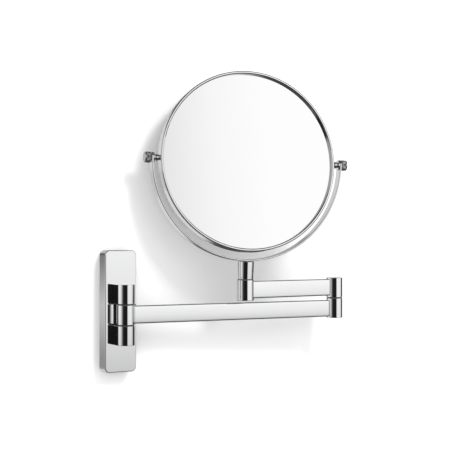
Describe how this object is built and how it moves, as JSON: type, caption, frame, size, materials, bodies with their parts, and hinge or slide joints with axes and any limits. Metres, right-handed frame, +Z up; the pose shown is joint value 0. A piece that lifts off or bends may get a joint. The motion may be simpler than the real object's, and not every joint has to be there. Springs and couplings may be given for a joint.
{
  "type": "extendable shaving mirror",
  "caption": "Round two-sided mirror that tilts in a half-ring yoke on a swivelling stem, carried by a folding flat-bar arm hinged on a covered wall plate.",
  "frame": {"origin": "centre of the wall plate's back, on the wall", "axes": "+X along the wall to the right as seen from the room, +Y into the wall, +Z up"},
  "size_m": [0.2759, 0.0818, 0.3176],
  "materials": {
    "chrome_plate": "polished chrome plate",
    "chrome_arm": "polished chrome plate",
    "chrome_head": "polished chrome plate",
    "steel_fixings": "turned bare steel",
    "galvanised": "galvanised sheet",
    "nylon": "black moulded nylon",
    "silvered_glass": "silvered glass",
    "board": "dark moulded board"
  },
  "bodies": {
    "wall_mount": {"wall_bracket": "galvanised", "wall_cover": "chrome_plate", "cover_screw": "steel_fixings", "knuckle_upper": "chrome_plate", "knuckle_lower": "chrome_plate", "knuckle_upper_screw_1": "steel_fixings", "knuckle_upper_screw_2": "steel_fixings", "knuckle_lower_screw_1": "steel_fixings", "knuckle_lower_screw_2": "steel_fixings", "wall_hinge_pin": "steel_fixings", "wall_hinge_plug": "chrome_plate"},
    "lower_arm": {"lower_arm_bar": "chrome_arm", "wall_barrel": "chrome_arm", "wall_bush_upper": "nylon", "wall_bush_lower": "nylon", "elbow_lower_barrel": "chrome_arm", "elbow_bush": "nylon", "elbow_cap": "nylon"},
    "upper_arm": {"upper_arm_bar": "chrome_arm", "elbow_upper_barrel": "chrome_arm", "elbow_pin": "steel_fixings", "elbow_washer": "steel_fixings", "elbow_screw": "steel_fixings", "stem_barrel": "chrome_arm", "stem_bush": "nylon", "stem_cap": "nylon"},
    "yoke": {"stem": "chrome_arm", "stem_washer": "steel_fixings", "stem_screw": "steel_fixings", "yoke_band": "chrome_head", "yoke_screw": "steel_fixings"},
    "mirror_head": {"rim_ring": "chrome_head", "front_bezel": "chrome_head", "rear_bezel": "chrome_head", "front_glass": "silvered_glass", "rear_glass": "silvered_glass", "backing_board": "board", "pivot_stud_left": "steel_fixings", "pivot_stud_right": "steel_fixings", "pivot_spacer_left": "chrome_head", "pivot_spacer_right": "chrome_head", "pivot_washer_left": "chrome_head", "pivot_washer_right": "chrome_head"},
    "knob_left_body": {"knob_left": "chrome_head"},
    "knob_right_body": {"knob_right": "chrome_head"}
  },
  "joints": [
    {"name": "wall_hinge", "type": "hinge", "parent": "wall_mount", "child": "lower_arm", "pos_m": [0, -0.027, -0.003], "axis": [0, 0, -1], "range_deg": [-4, 170]},
    {"name": "elbow_hinge", "type": "hinge", "parent": "lower_arm", "child": "upper_arm", "pos_m": [0.24939, -0.04444, 0.00875], "axis": [0, 0, -1], "continuous": true},
    {"name": "stem_swivel", "type": "hinge", "parent": "upper_arm", "child": "yoke", "pos_m": [0.12895, -0.05078, 0.0317], "axis": [0.0204, -0.0046, 0.9998], "continuous": true},
    {"name": "mirror_tilt", "type": "hinge", "parent": "yoke", "child": "mirror_head", "pos_m": [0.13152, -0.05136, 0.15747], "axis": [0.9749, -0.2215, -0.0209], "continuous": true},
    {"name": "knob_left_turn", "type": "hinge", "parent": "mirror_head", "child": "knob_left_body", "pos_m": [0.02379, -0.02688, 0.15979], "axis": [-0.9749, 0.2215, 0.0209], "range_deg": [0, 360]},
    {"name": "knob_right_turn", "type": "hinge", "parent": "mirror_head", "child": "knob_right_body", "pos_m": [0.23925, -0.07584, 0.15516], "axis": [0.9749, -0.2215, -0.0209], "range_deg": [0, 360]}
  ]
}
